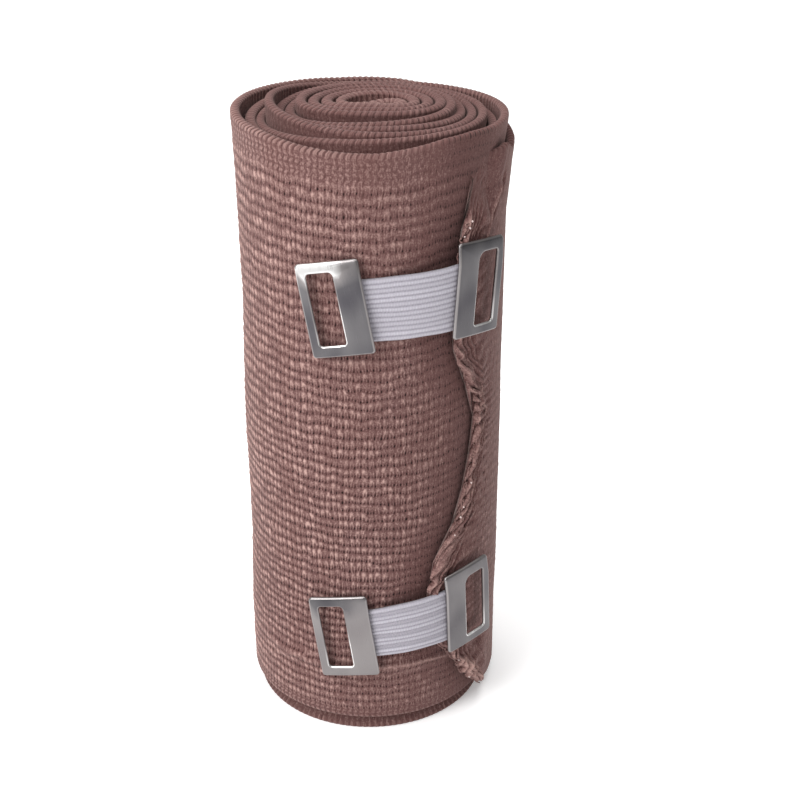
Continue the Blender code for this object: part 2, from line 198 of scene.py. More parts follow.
DOTS = (131.3, 129.9, 127.9, 66.0, 60.3, 57.9, 53.7, 47.8, 16.8, 10.1)  # heights of cut rubber threads
DOT_RADIUS = 0.25
THREAD_PLACES = (3.0, 0.4)  # wales from thread to thread, and courses from point to point
THREAD_TONE = 0.62

# The elastics and their steel clips, as in the part's source ----------

CLEARANCE = 0.3 * MM
PLATE_SIZE = (14.4 * MM, 21.9 * MM)
PLATE_THICKNESS = 0.9 * MM
PLATE_CORNER = 0.8 * MM
PLATE_EDGE = 0.42 * MM  # radius of its rolled edges
PLATE_BOW = 1 / (110 * MM)  # curvature round the roll
PLATE_CURL = (6.5 * MM, 34.0)  # the upper bar bends back from this height on, by so much a square metre
WIDE_BAR = 6.1 * MM
NARROW_BAR = 2.2 * MM
UPPER_BAR = 2.3 * MM
LOWER_BAR = 2.7 * MM
SLOT_CORNERS = {1: (1.1, 0.7, 0.7, 0.7), -1: (0.7, 0.7, 0.7, 1.9)}  # by side, from the upper right, mm
SLOT_MIDDLE = 1.9 * MM  # the slot lies about this far beside the middle of the plate
SLOT_GLINT = (0.45, 0.6)  # painted highlight on the slot's edge, and more of it where it faces the light
LIGHT_FROM = math.radians(-50)  # direction of that light round the slot
# painted highlight on the plate's rolled outline
OUTLINE_HIGHLIGHT = 0.52
PLATES = {
    # name: side, degrees from the front, height, lean in degrees, radius, shares of painted reflection on the
    # plate and on its upper bar; in millimetres
    "clip_upper_left": (1, -13.8, 113.6, 10.7, 32.65, 0.0, 1.7),
    "clip_upper_right": (-1, 44.5, 115.7, -5.5, 34.3, 0.05, 0.0),
    "clip_lower_left": (1, -12.6, 28.5, 8.8, 32.65, 0.85, 0.0),
    "clip_lower_right": (-1, 42.6, 33.2, 3.3, 34.3, 0.25, 0.4),
}
ELASTIC_THICKNESS = 0.75 * MM
ELASTIC_RELIEF = 0.24 * MM
ELASTIC_RIBS = 13
ELASTIC_YARN = 0.62 * MM  # spacing of the cross yarns
ELASTIC_SWAY = 0.12  # how far the ribs stray up and down, in millimetres
ELASTIC_EDGE = 0.55  # share of its thickness along both edges
ELASTIC_TUCK = 4.5 * MM
ELASTIC_RISE = (36, 3)  # degrees before and behind the cut end over which it rises
PINCH = 0.4  # share of its height that a rib loses where a yarn crosses it
PAIR_GROOVE = 0.3  # height of the rib that lies between two pairs
ELASTICS = {
    # name: left plate, right plate, width at both ends, heights at both ends and how far the middle rises
    # over their line, in millimetres, direction of the cut end in degrees, whether its ribs go in pairs
    "upper_elastic": ("clip_upper_left", "clip_upper_right", 14.6, 15.2, 112.9, 114.9, 0.0, 35.0, False),
    "lower_elastic": ("clip_lower_left", "clip_lower_right", 13.2, 14.6, 28.5, 32.3, 0.9, 24.0, True),
}

# The camera and the lights, from the axis of the roll with the front to

CAMERA_PLACE = (0, -340.23 * MM, 241.55 * MM)
CAMERA_TURN, CAMERA_DIP, CAMERA_ROLL = 0.0206, 0.4518, 0.0005  # radians
CAMERA_LENS = 69.19
LIGHTS = {
    # name: place, size, power in watts
    "overhead_soft_box": ((-0.3, 0.1, 2.2), 2.6, 56.0),
    "left_soft_box": ((-0.42, -0.42, 0.46), 0.4, 3.45),
}
LIGHT_AIM = 0.08  # they face the roll's axis at this height
SURROUND_LIGHT = 0.35
FLOOR_LIGHT = 0.25
FLOOR_HALF = 2.5

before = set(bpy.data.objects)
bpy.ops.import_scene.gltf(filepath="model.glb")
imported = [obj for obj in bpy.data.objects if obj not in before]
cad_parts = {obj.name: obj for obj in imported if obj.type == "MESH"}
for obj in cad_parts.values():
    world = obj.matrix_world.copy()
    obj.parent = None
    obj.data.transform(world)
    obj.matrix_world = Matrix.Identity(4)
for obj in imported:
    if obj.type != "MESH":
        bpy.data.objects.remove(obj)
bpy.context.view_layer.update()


# Numbers --------------------------------------------------------------

def ramp(low, high, value):
    """0 below low, 1 above high, and a straight rise between."""
    return np.clip((value - low) / (high - low), 0.0, 1.0)


def step_up(low, high, value):
    """0 below low, 1 above high, and an S-shaped rise between."""
    share = ramp(low, high, value)
    return share * share * (3 - 2 * share)


def step_down(low, high, value):
    """1 below low, 0 above high, and an S-shaped fall between."""
    return 1 - step_up(low, high, value)


def bell(away, half_width):
    """A bell curve: 1 at its middle, and 1/e one half width away."""
    return np.exp(-(away / half_width) ** 2)


def soft_noise(seed, across, up):
    """Numbers from -1 to 1 drawn for the whole places of a lattice, blended smoothly between them."""
    table = np.random.default_rng(seed).uniform(-1, 1, (128, 128))
    left, low = np.floor(across).astype(int), np.floor(up).astype(int)
    x, y = across - left, up - low
    x, y = x * x * (3 - 2 * x), y * y * (3 - 2 * y)
    corner = [[table[(left + i) % 128, (low + j) % 128] for j in (0, 1)] for i in (0, 1)]
    lower = corner[0][0] * (1 - x) + corner[1][0] * x
    upper = corner[0][1] * (1 - x) + corner[1][1] * x
    return lower * (1 - y) + upper * y


# The wound strip ------------------------------------------------------

def along_turns(stations, turn):
    """Catmull-Rom curve through values a quarter turn apart, the first a quarter turn before turn 0."""
    place = (turn + 0.25) * 4
    last = len(stations) - 1
    first = np.clip(np.floor(place).astype(int), 0, last - 1)
    share = place - first
    before, start, end, after = (stations[np.clip(first + step, 0, last)] for step in (-1, 0, 1, 2))
    return (start + 0.5 * share * (end - before
            + share * (2 * before - 5 * start + 4 * end - after
                       + share * (3 * (start - end) + after - before))))


def turn_at(degrees):
    """Turn of the loose end at a direction, in degrees round from the front."""
    return (degrees - 90) / 360


FIRST_TURN = turn_at(CUT_END_MEAN)
FINE_TURNS = np.linspace(FIRST_TURN - 0.02, LAST_TURN + 0.03, 20000)
FINE_STEP = 2 * math.pi * (FINE_TURNS[1] - FINE_TURNS[0])
WALES = np.cumsum(along_turns(RADII, FINE_TURNS)) * FINE_STEP / WALE
WALES = WALES - np.interp(FIRST_TURN, FINE_TURNS, WALES)


def wale_at(turn):
    """Number of wales from the cut end to a turn: the length of strip between, divided by a wale's width."""
    return np.interp(turn, FINE_TURNS, WALES)


def tucked_corner(turn):
    """1 where the loose end's upper edge is pressed flat, and 0 elsewhere, with soft steps between."""
    degrees = turn * 360 + 90
    low, high = TUCKED_CORNER
    return step_up(low - 6, low, degrees) * step_down(high, high + 13, degrees)


def strip_edges(turn):
    """Levels of the lower and the upper selvedge."""
    lifted = (OUTER_BOTTOM * step_down(*OUTER_BOTTOM_TURNS, turn)
              + CORNER_RISE * step_down(FIRST_TURN, FIRST_TURN + 0.025, turn))
    top = (along_turns(TOPS, turn) + np.interp(turn, RIM_RISE[:, 0], RIM_RISE[:, 1]) * MM
           + TUCKED_RISE * tucked_corner(turn))
    return lifted + CORE_BOTTOM * step_up(*CORE_BOTTOM_TURNS, turn), top


def lobes(length, level):
    """Puckers of the frayed cut end: 1 on a pucker's ridge and 0 in the folds between, steep and aslant.

    They run along the cut end: up to the right on its lower part, and up to the left between its middle
    and the upper clips.
    """
    low, mid, high, top = PUCKER_TURN
    turned = step_up(low, mid, level) * step_down(high, top, level)
    slant = PUCKER_SLANT - 2 * PUCKER_SLANT * turned
    uneven = 0.9 * soft_noise(24, level / (9 * MM), length / (6 * MM))
    place = (level - slant * np.minimum(length, 6 * MM)) / PUCKER + uneven
    return np.abs(np.sin(math.pi * place))


def strip_face(turn, level):
    """Outer face of the smooth strip: a point at the winding's radius, leaning, spread and creased by level.

    Near the loose end each level is also carried round to the cut end's wavy line.
    """
    cut = sum(np.interp(level / MM + step, CUT_END[:, 0], CUT_END[:, 1]) for step in CUT_END_STEPS)
    cut = cut / len(CUT_END_STEPS)
    wave, middle, rough, size = WAVY_CUT
    wavy = wave * (middle - lobes(0 * level, level)) + rough * soft_noise(31, level / (size * MM), 0 * level)
    cut = cut + wavy * step_up(5 * MM, 10 * MM, level) * step_down(123 * MM, 131 * MM, level)
    behind = np.clip((turn - turn_at(CUT_END_MEAN)) / CUT_END_REACH, 0, 1)
    turn = turn + (cut - CUT_END_MEAN) / 360 * (1 - behind) ** 2
    facing_right = np.cos(2 * math.pi * turn)
    lean = ramp(*FLARE_LEVELS, level) * (1 - ramp(*FLARE_TURNS, turn))
    foot = np.clip(1 - level / FOOT_HEIGHT, 0, 1) * (1 - ramp(*FOOT_TURNS, turn))
    uneven = np.interp(level, LEFT_SIDE[:, 0], LEFT_SIDE[:, 1]) * (turn < 1)
    crease = (CREASE_RISE * bell(level - CREASE_LEVEL, CREASE_WIDTH)
              * step_up(CREASE_TURNS[0], CREASE_TURNS[0] + 0.06, turn)
              * step_down(CREASE_TURNS[1] - 0.06, CREASE_TURNS[1], turn))
    radius = (along_turns(RADII, turn) + FLARE * np.maximum(facing_right, 0) ** 2 * lean
              + (FOOT_SPREAD - FOOT_SHIFT * facing_right) * foot
              + uneven * np.maximum(-facing_right, 0) ** 2 + crease)
    offset = CORE_OFFSET * step_up(*CORE_TURNS, turn)
    angle = FRONT + math.pi / 2 + 2 * math.pi * turn
    return np.stack((AXIS[0] + radius * np.cos(angle) + offset * math.cos(FRONT),
                     AXIS[1] + radius * np.sin(angle) + offset * math.sin(FRONT), level), -1)


def inward_of(points):
    """Level unit vectors towards the roll's inside, from a grid whose columns run along the strip."""
    along = np.gradient(points, axis=0)
    inward = np.stack((-along[..., 1], along[..., 0], np.zeros(along.shape[:-1])), -1)
    return inward / np.linalg.norm(inward, axis=-1, keepdims=True)


# The stitches ---------------------------------------------------------

def round_from_front(turn):
    """Degrees from the front, from -180 to 180, with the right at 90."""
    return ((turn % 1) * 360 + 90 + 180) % 360 - 180


def on_right(turn, low, high):
    """1 on the roll's right side and 0 on its left, rising between two directions and falling behind."""
    degrees = round_from_front(turn)
    return step_up(low, high, degrees) * step_down(100, 180, degrees)


def stitch_lean(turn, course):
    """How far a stitch leans over one course, in wales: to the left on the roll's left side, less in front.

    The two courses next to the upper selvedge lean opposite ways, as in a herringbone.
    """
    side = 0.60 - 0.50 * on_right(turn, -75, 5) + 0.15 * on_right(turn, 60, 100)
    herringbone = np.where(course < COURSES - 1.02, -HERRINGBONE, HERRINGBONE)
    return np.where(course < COURSES - 2.02, side, herringbone)


def bead(wale):
    """Height across a rib that is round like a bead: 1 on its middle and 0 in the narrow gap to the next."""
    gap_away = 0.5 - np.abs(wale - np.round(wale))
    return 1 - bell(gap_away, BEAD_GAP)


def stitch_height(wale, course, lean):
    """Height of the cloth's face, about 0 in the slits between the stitches' feet and 1 on their heads.

    Each course is a soft band, highest at three fifths of its height. On it each stitch has a round head at
    two thirds, and two thin legs below it. A slit parts the feet of neighbours, over the line between two
    courses. A stitch leans over its course, its size and place vary by chance, and along both selvedges
    only plain ribs are left.
    """
    line = np.floor(course + 1e-6)
    up = course - line
    leant = wale + lean * (up - LEAN_AT)
    number = np.round(leant)
    across = leant - number
    chances = np.random.default_rng(5).uniform(-1, 1, (3, 128, 128))
    chance, aside, higher = chances[:, number.astype(int) % 128, line.astype(int) % 128]
    band = BAND[0] - BAND[1] * np.cos(2 * math.pi * (up - BAND[2]))
    head = (HEAD[0] + HEAD[1] * chance) * np.exp(
        -((across - HEAD_STRAY[0] * aside) / HEAD_SIZE[0]) ** 2
        - ((up - HEAD_UP - HEAD_STRAY[1] * higher) / HEAD_SIZE[1]) ** 2)
    legs = (LEG[0] + LEG[1] * chance) * bell(np.abs(across) - LEG_ACROSS[0], LEG_ACROSS[1])
    legs = legs * step_down(0.35, 0.65, up) * step_up(-0.3, 0.05, up)
    from_groove = np.abs(wale % 1 - 0.5)
    slit = SLIT[0] * bell(from_groove, SLIT[1]) + LEG_SLIT[0] * bell(0.5 - from_groove, LEG_SLIT[1])
    slit = slit * bell((course - SLIT_UP[0] + 0.5) % 1 - 0.5, SLIT_UP[1])
    # along either selvedge the stitches are half as high, close and round, and lean to and fro by rows
    row = np.minimum(course, COURSES - course) * SELVEDGE_ROWS + 0.5
    in_row = row % 1
    leaning = wale + np.where(row % 2 < 1, SELVEDGE_LEAN, -SELVEDGE_LEAN) * (in_row - 0.5)
    beads = bead(leaning) * (0.2 + 0.8 * np.sin(math.pi * in_row))
    plain = step_down(0.9, 1.2, course) + step_up(COURSES - 2.5, COURSES - 2.1, course)
    return (band + head + legs - slit) * (1 - plain) + (SELVEDGE[0] + SELVEDGE[1] * beads) * plain


def frayed(wale):
    """1 at the cut end, where the stitches are pulled out, and 0 from nine millimetres behind it."""
    return step_down(3.0 * MM, 9.0 * MM, wale * WALE)


def relief_strength(turn, wale, course):
    """How strongly the stitches stand out: most on the left, least by the cut end.

    They are also flatter at the upper right and along the foot. The inner turns, of which only the rims
    show, are all alike.
    """
    right = on_right(turn, -20, 40)
    upper = step_up(0.4 * COURSES, 0.88 * COURSES, course)
    loose = step_down(-0.06, 0.08, turn)
    left = 1 - on_right(turn, -70, -5)
    foot = step_down(4, 14, course)
    strength = (STRENGTH["front"] + STRENGTH["left"] * left + STRENGTH["right"] * right
                + STRENGTH["upper right"] * upper * right + STRENGTH["upper"] * upper
                + STRENGTH["foot"] * foot * (1 - left))
    strength = strength + (INNER_STRENGTH - strength) * step_up(1.0, 1.2, turn)
    return strength * (1 - LOOSE_CALM * loose) * (1 - FRAYED_CALM * frayed(wale))


def arc_from(turn, degrees):
    """Millimetres along the loose end from a direction, in degrees round from the front."""
    return np.radians(turn * 360 + 90 - degrees) * OUTER_RADIUS


def loose_end_relief(turn, wale, level):
    """Heights of the loose end's folds and dents, those of its rolled cut end, and its painted light.

    The folds are noise drawn out along a steep line, up and away from the cut end, and the puckers run
    beside them. A dent is a bell curve, and so is the rolled edge, which is lumpy, and wide and high where
    the lower corner curls up.
    """
    length = wale * WALE
    along = length * math.sin(FOLD_LEAN) + level * math.cos(FOLD_LEAN)
    over = length * math.cos(FOLD_LEAN) - level * math.sin(FOLD_LEAN)
    folds = sum(share * soft_noise(seed, over / (across * MM), along / (long * MM))
                for seed, share, across, long in FOLDS)
    height = (FOLD_HEIGHT[0] + FOLD_HEIGHT[1] * frayed(wale)) * MM * folds
    for degrees, middle, half_width, half_height, depth in DENTS:
        height = height - depth * MM * np.exp(-(arc_from(turn, degrees) / half_width) ** 2
                                              - ((level / MM - middle) / half_height) ** 2)
    (low, first), (high, last) = UPPER_FOLD
    arc = arc_from(turn, np.interp(level / MM, (low, high), (first, last)))
    fold = step_up(low - 4, low + 1, level / MM) * step_down(high - 1, high + 3, level / MM)
    rise, half_width, beside, dip_width = UPPER_FOLD_SIZE
    sharp = fold * bell(arc, half_width)
    height = height + (rise * sharp - rise * fold * bell(arc - beside, dip_width)) * MM
    flat = step_down(*TUCKED_LEVELS, level)
    puckers = (lobes(length, level) - PUCKER_MIDDLE) * bell(length, PUCKER_REACH) * flat
    curled = step_down(*CURLED_LEVELS, level)
    lumps = 1 + 0.3 * soft_noise(23, level / (1.1 * MM), length / (1.5 * MM))
    rolled = bell(length - (0.6 + 2.0 * curled) * MM, (0.6 + 1.8 * curled) * MM)
    higher = 1 + CURLED_HEIGHT * curled * step_up(4 * MM, 9 * MM, level)
    rolled = rolled * lumps * flat * higher * CUT_END_BEAD
    height = step_down(0.0, 0.08, turn) * height + PUCKER_RISE * puckers
    # the painted light: on the puckers' ridges, on the sharp fold and on the rolled cut end
    return height, rolled, 0.45 * puckers + 0.25 * sharp + (0.16 - 0.06 * curled) * rolled / CUT_END_BEAD


def shape_loose_end(smooth, wale, level, depth, dents):
    """The loose end's new depths and dents, and its painted light and shade.

    Its upper corner is pressed on the turn beneath, until it stands only a little proud of it, and the
    rest of its cut end is lifted off.
    """
    from_axis = smooth[..., :2] - AXIS
    degrees = np.degrees(np.arctan2(from_axis[..., 1], from_axis[..., 0]) - FRONT)
    turn = turn_at((degrees + 180) % 360 - 180)
    folds, rolled_edge, lighter = loose_end_relief(turn, wale, level)
    lighter = lighter - LOOSE_SHADOW[0] * step_down(*LOOSE_SHADOW[1:], level)
    beneath = strip_face(turn + 1, level)[..., :2] - AXIS
    proud = (0.05 + 0.2 * soft_noise(25, wale, level / (2 * MM))) * MM
    gap = np.linalg.norm(from_axis, axis=-1) - np.linalg.norm(beneath, axis=-1) - proud
    tucked = step_up(*TUCKED_LEVELS, level) * step_down(7.0 * MM, 13 * MM, wale * WALE)
    lifted = CUT_END_LIFT * bell(wale * WALE, CUT_END_LIFT_REACH)
    depth = depth * (1 - 0.7 * tucked) + gap * tucked - lifted * (1 - tucked)
    return depth, dents + folds + rolled_edge, lighter


def shape_front(turn, level, strength, dents):
    """The front's new strength and dents, and how much lighter it is.

    A pulled yarn stands out as a low ridge with a painted highlight; by the cut end it is flat and darker.
    """
    degrees = round_from_front(turn)
    yarn_level = np.interp(degrees, PULLED_YARN[:, 0], PULLED_YARN[:, 1]) * MM
    pulled = bell(level - yarn_level, PULLED_YARN_WIDTH)
    pulled = pulled * step_up(-62, -50, degrees) * step_down(36, 42, degrees) * (turn > 0.5)
    pulled = pulled * (0.5 + 0.5 * step_up(-10, 10, degrees))
    beside_cut = degrees - np.interp(level / MM, CUT_END[:, 0], CUT_END[:, 1])
    beside_cut = step_up(-22, -4, beside_cut) * (turn > 0.7) * step_down(0.9, 0.93, turn)
    strength = strength * (1 - 0.7 * pulled) * (1 - 0.8 * beside_cut)
    # the pulled yarn's ridge gets a painted highlight; beside the cut end the cloth is darker
    return strength, dents + PULLED_YARN_RISE * pulled, 0.35 * pulled - 0.13 * beside_cut


def fill_and_round(turn, wale, course, depth):
    """The depths with fuller rims and with round ends.

    The selvedge is fuller than the cloth below it, and fills part of the gaps to its neighbours. Both ends
    of the strip are half circles.
    """
    outer_gap, inner_gap = (np.clip(along_turns(RADII, turn + step) - along_turns(RADII, turn + step + 1)
                                    - CLOTH_THICKNESS, 0, RIM_FILL_MOST) * RIM_FILL for step in (-1, 0))
    outer_gap = np.where(turn > 1, outer_gap, OUTER_FILL)
    at_top = step_up(COURSES - 1.6, COURSES - 0.4, course) * (1 - frayed(wale))
    inner_share = depth / CLOTH_THICKNESS
    depth = depth + at_top * (inner_gap * inner_share - outer_gap * (1 - inner_share))
    from_end = np.minimum(wale, wale_at(LAST_TURN) + 0.5 - wale) * WALE
    rounding = EDGE_RADIUS * (1 - np.sqrt(1 - (1 - np.clip(from_end / EDGE_RADIUS, 0.04, 1)) ** 2))
    return depth + rounding * (1 - 2 * depth / CLOTH_THICKNESS)


def cloth_tone(turn, course, climbed, rows, face, strength, share, crown):
    """Painted light and shade of the cloth, by its stitches' height and by soft changes from place to place.
    """
    tone = (share * (TONE + rows + (face - TONE) * (TONE_SPREAD[0] + TONE_SPREAD[1] * strength))
            + (1 - share) * (INNER_TONE[0] + INNER_TONE[1] * crown))
    calm = 1 - INNER_CALM * step_up(1.5, 3, turn)
    # painted light round the eye
    tone = TONE + (tone - TONE) * calm + EYE_PAINTED_LIGHT * step_up(8.5, 10, turn)
    shadow = step_up(1.5, 4, turn) * (1 - RIM_SHADOW[1] * step_up(7, 9, turn))
    tone = tone - RIM_SHADOW[0] * shadow * step_up(COURSES - 6, COURSES - 3, course)
    # painted light towards the top and painted shade towards the bottom, and painted light on the lowest
    # courses
    light_from_above = (2 * climbed - 1) * step_up(0, 0.2, climbed) * (1 - PAINTED_LIGHT_FROM_ABOVE[1] * on_right(turn, -5, 45))
    return tone + (PAINTED_LIGHT_FROM_ABOVE[0] * light_from_above + FOOT_PAINTED_LIGHT * step_down(3, 12, course)) * share * (turn < 1)


def cloth_profile(courses, edge_points, inner_courses):
    """Section of the cloth from selvedge to selvedge and back, as a closed line.

    It climbs the outer face by courses, turns round the upper selvedge on a half circle, comes down the
    inner face, and turns round the lower selvedge. Returns for each point its course, its rise above the
    level of that course, its depth from the outer face, and its share of the outer face's relief.
    """
    turning = np.linspace(0, math.pi, edge_points + 2)[1:-1]
    outer = np.stack((courses, 0 * courses, 0 * courses, 1 + 0 * courses))
    top = np.stack((COURSES + 0 * turning, EDGE_RADIUS * np.sin(turning),
                    EDGE_RADIUS * (1 - np.cos(turning)), np.cos(turning / 2) ** 2))
    inner = np.stack((inner_courses[::-1], 0 * inner_courses, CLOTH_THICKNESS + 0 * inner_courses,
                      0 * inner_courses))
    bottom = np.stack((0 * turning, -EDGE_RADIUS * np.sin(turning),
                       EDGE_RADIUS * (1 + np.cos(turning)), np.sin(turning / 2) ** 2))
    return np.concatenate((outer, top, inner, bottom), axis=1)


def wound_cloth(first_turn, last_turn, per_wale, profile):
    """Grid of one stretch of the strip, with a spare column past either end, its wales, courses and tones.

    Each point lies on the smooth strip, at its depth, moved out by the stitches' height there. The rows
    waver up and down a little, and the wales from side to side.
    """
    first, last = (round(float(wale_at(turn))) for turn in (first_turn, last_turn))
    columns = first + np.arange(-1, (last - first) * per_wale + 2) / per_wale
    wale, course = np.meshgrid(columns, profile[0], indexing="ij")
    rise, depth, share = (np.broadcast_to(values, wale.shape) for values in profile[1:])
    inside = step_up(0, 4, course) * step_down(COURSES - 4, COURSES, course)
    turn = np.interp(wale + WALE_WANDER * inside * soft_noise(1, wale / 6, course / 9), WALES, FINE_TURNS)
    bottom, top = strip_edges(turn)
    bottom, top = bottom + EDGE_RADIUS, top - EDGE_RADIUS
    waver = sum(amount * soft_noise(seed, wale / width, course / height)
                for seed, amount, width, height in COURSE_WANDER)
    climbed = (course + inside * waver) / COURSES
    level = bottom + (top - bottom) * (climbed + COURSE_SPREAD * (climbed ** 2 - climbed))
    smooth = strip_face(turn, np.clip(level + rise, 0, None))
    inward = inward_of(smooth)
    # the pattern is knitted unevenly, and its ribs cross the rim in a herringbone
    pattern_wale = (wale + RIM_SLANT[0] * np.abs(depth / CLOTH_THICKNESS - RIM_SLANT[1])
                    + inside * UNEVEN_WALES * soft_noise(6, wale * 0.9, course * 0.6))
    pattern_course = course + inside * UNEVEN_COURSES * soft_noise(7, wale * 0.7, course * 0.9)
    face = stitch_height(pattern_wale, pattern_course, stitch_lean(turn, course))
    strength = relief_strength(turn, wale, course)
    dents = CLOTH_DENTS * inside * soft_noise(4, wale / 14, course / 8)
    lighter = np.zeros(wale.shape)
    if first == 0:
        depth, dents, lighter = shape_loose_end(smooth, wale, level, depth, dents)
    elif first_turn < 1:
        strength, dents, lighter = shape_front(turn, level, strength, dents)
    depth = fill_and_round(turn, wale, course, depth)
    outer = share * ((face - FACE_MIDDLE) * np.clip(strength, *RELIEF_SHARES) * STITCH_RELIEF + dents)
    crown = 1 - (1 - bead(pattern_wale)) * step_up(-3, 9, course)
    inner = (1 - share) * INNER_BEAD * (crown - 1)
    points = smooth + inward * (depth - outer - inner * (share < 1))[..., None]
    points[..., 2] += np.clip(rise / EDGE_RADIUS, -1, 1) * (RIM_BEAD * (crown - 1))
    # where the stitches are flat at the upper right, the courses still show as soft rows of painted light and
    # shade
    rows = -ROW_LIGHT_AND_SHADE * np.cos(2 * math.pi * (pattern_course - BAND[2])) * np.clip(1 - strength, 0, 1)
    rows = rows * inside * step_up(0.6 * COURSES, 0.8 * COURSES, course) * step_up(0.3, 0.6, turn)
    tone = cloth_tone(turn, course, climbed, rows, face, strength, share, crown)
    return points, pattern_wale, pattern_course, tone + share * lighter


# Meshes ---------------------------------------------------------------

def grid_faces(columns, rows, ring_columns=False):
    """Corners of the four-sided faces of a grid whose rows close into a ring, and its columns if asked."""
    column = np.arange(columns if ring_columns else columns - 1)[:, None]
    row = np.arange(rows)[None, :]
    ahead, above = (column + 1) % columns, (row + 1) % rows
    corners = (column * rows + row, ahead * rows + row, ahead * rows + above, column * rows + above)
    return np.stack(np.broadcast_arrays(*corners), -1).reshape(-1, 4)


def grid_normals(points):
    """Unit normals of such a grid: the cross product of its slopes along the columns and up the rows."""
    up = (np.roll(points, -1, axis=1) - np.roll(points, 1, axis=1)) / 2
    normals = np.cross(np.gradient(points, axis=0), up)
    return normals / np.maximum(np.linalg.norm(normals, axis=-1, keepdims=True), 1e-12)


def add_object(name, data):
    """Link one new object to the scene."""
    made = bpy.data.objects.new(name, data)
    bpy.context.scene.collection.objects.link(made)
    return made


def add_piece(name, points, faces, finish, places, heights, normals=None):
    """Link one mesh as a piece that rides on the part, with places and heights of its pattern."""
    mesh = bpy.data.meshes.new(name)
    mesh.from_pydata(points.reshape(-1, 3).tolist(), [], faces)
    mesh.shade_smooth()
    corner_points = np.empty(len(mesh.loops), np.int32)
    mesh.loops.foreach_get("vertex_index", corner_points)
    pattern = mesh.uv_layers.new(name="pattern")
    pattern.data.foreach_set("uv", places.reshape(-1, 2)[corner_points].astype(np.float32).ravel())
    pattern_height = mesh.attributes.new("pattern_height", "FLOAT", "POINT")
    pattern_height.data.foreach_set("value", heights.astype(np.float32).ravel())
    if normals is not None:
        mesh.normals_split_custom_set_from_vertices(normals.reshape(-1, 3).tolist())
    mesh.materials.append(finish)
    piece = add_object(name, mesh)
    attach(piece, "root")
    return piece


def end_faces(outer, heights, first):
    """Triangles over one end of a closed section whose points are numbered from first on.

    The outer side's points come first. The two sides are climbed together, always by the lower next step,
    and each step makes a triangle with the point reached on the other side.
    """
    face_up = np.maximum.accumulate(heights[:outer])
    back_up = np.maximum.accumulate(heights[outer:][::-1])
    steps = np.argsort(np.concatenate((face_up[1:], back_up[1:])), kind="stable")
    on_face = steps < outer - 1
    face = np.cumsum(on_face)
    back = len(heights) - 1 - np.cumsum(~on_face)
    corners = np.stack((np.where(on_face, face - 1, face), np.where(on_face, face, back),
                        np.where(on_face, back, back + 1)), -1)
    return (corners + first).tolist()


def closed_strip(name, grid, outer, heights, finish):
    """A grid of points, their places across and up the pattern and their tones, as a piece.

    The spare column at either end gives the normals beside it and is dropped.
    """
    normals = grid_normals(grid[0])[1:-1]
    points, wale, course, tone = (values[1:-1] for values in grid)
    columns, rows = wale.shape
    start = end_faces(outer, heights, 0)
    end = [face[::-1] for face in end_faces(outer, heights, (columns - 1) * rows)]
    faces = grid_faces(columns, rows).tolist() + start + end
    return add_piece(name, points, faces, finish, np.stack((wale, course), -1), tone, normals)


# Materials ------------------------------------------------------------

def linear(colour):
    """Linear red, green, blue and alpha of an sRGB hex colour."""
    values = np.array([int(colour[i:i + 2], 16) for i in (1, 3, 5)]) / 255
    return (*np.where(values <= 0.04045, values / 12.92, ((values + 0.055) / 1.055) ** 2.4), 1.0)


def node(material, kind, settings=None, out=0, **links):
    """Add a shader node and give back one of its outputs, or several for a slice.

    Settings go by property name or by input name or number, links by input name or number.
    """
    made = material.node_tree.nodes.new("ShaderNode" + kind)
    for key, value in (settings or {}).items():
        if isinstance(key, str) and hasattr(made, key):
            setattr(made, key, value)
        else:
            made.inputs[key].default_value = value
    for key, source in links.items():
        material.node_tree.links.new(source, made.inputs[int(key[1:]) if key[1:].isdigit() else key])
    return made.outputs[out]


def new_material(name, **shader_values):
    """A node material with its principled shader's values set."""
    material = bpy.data.materials.new(name)
    material.use_nodes = True
    shader = material.node_tree.nodes["Principled BSDF"]
    for key, value in shader_values.items():
        shader.inputs[key.replace("_", " ")].default_value = value
    return material, shader


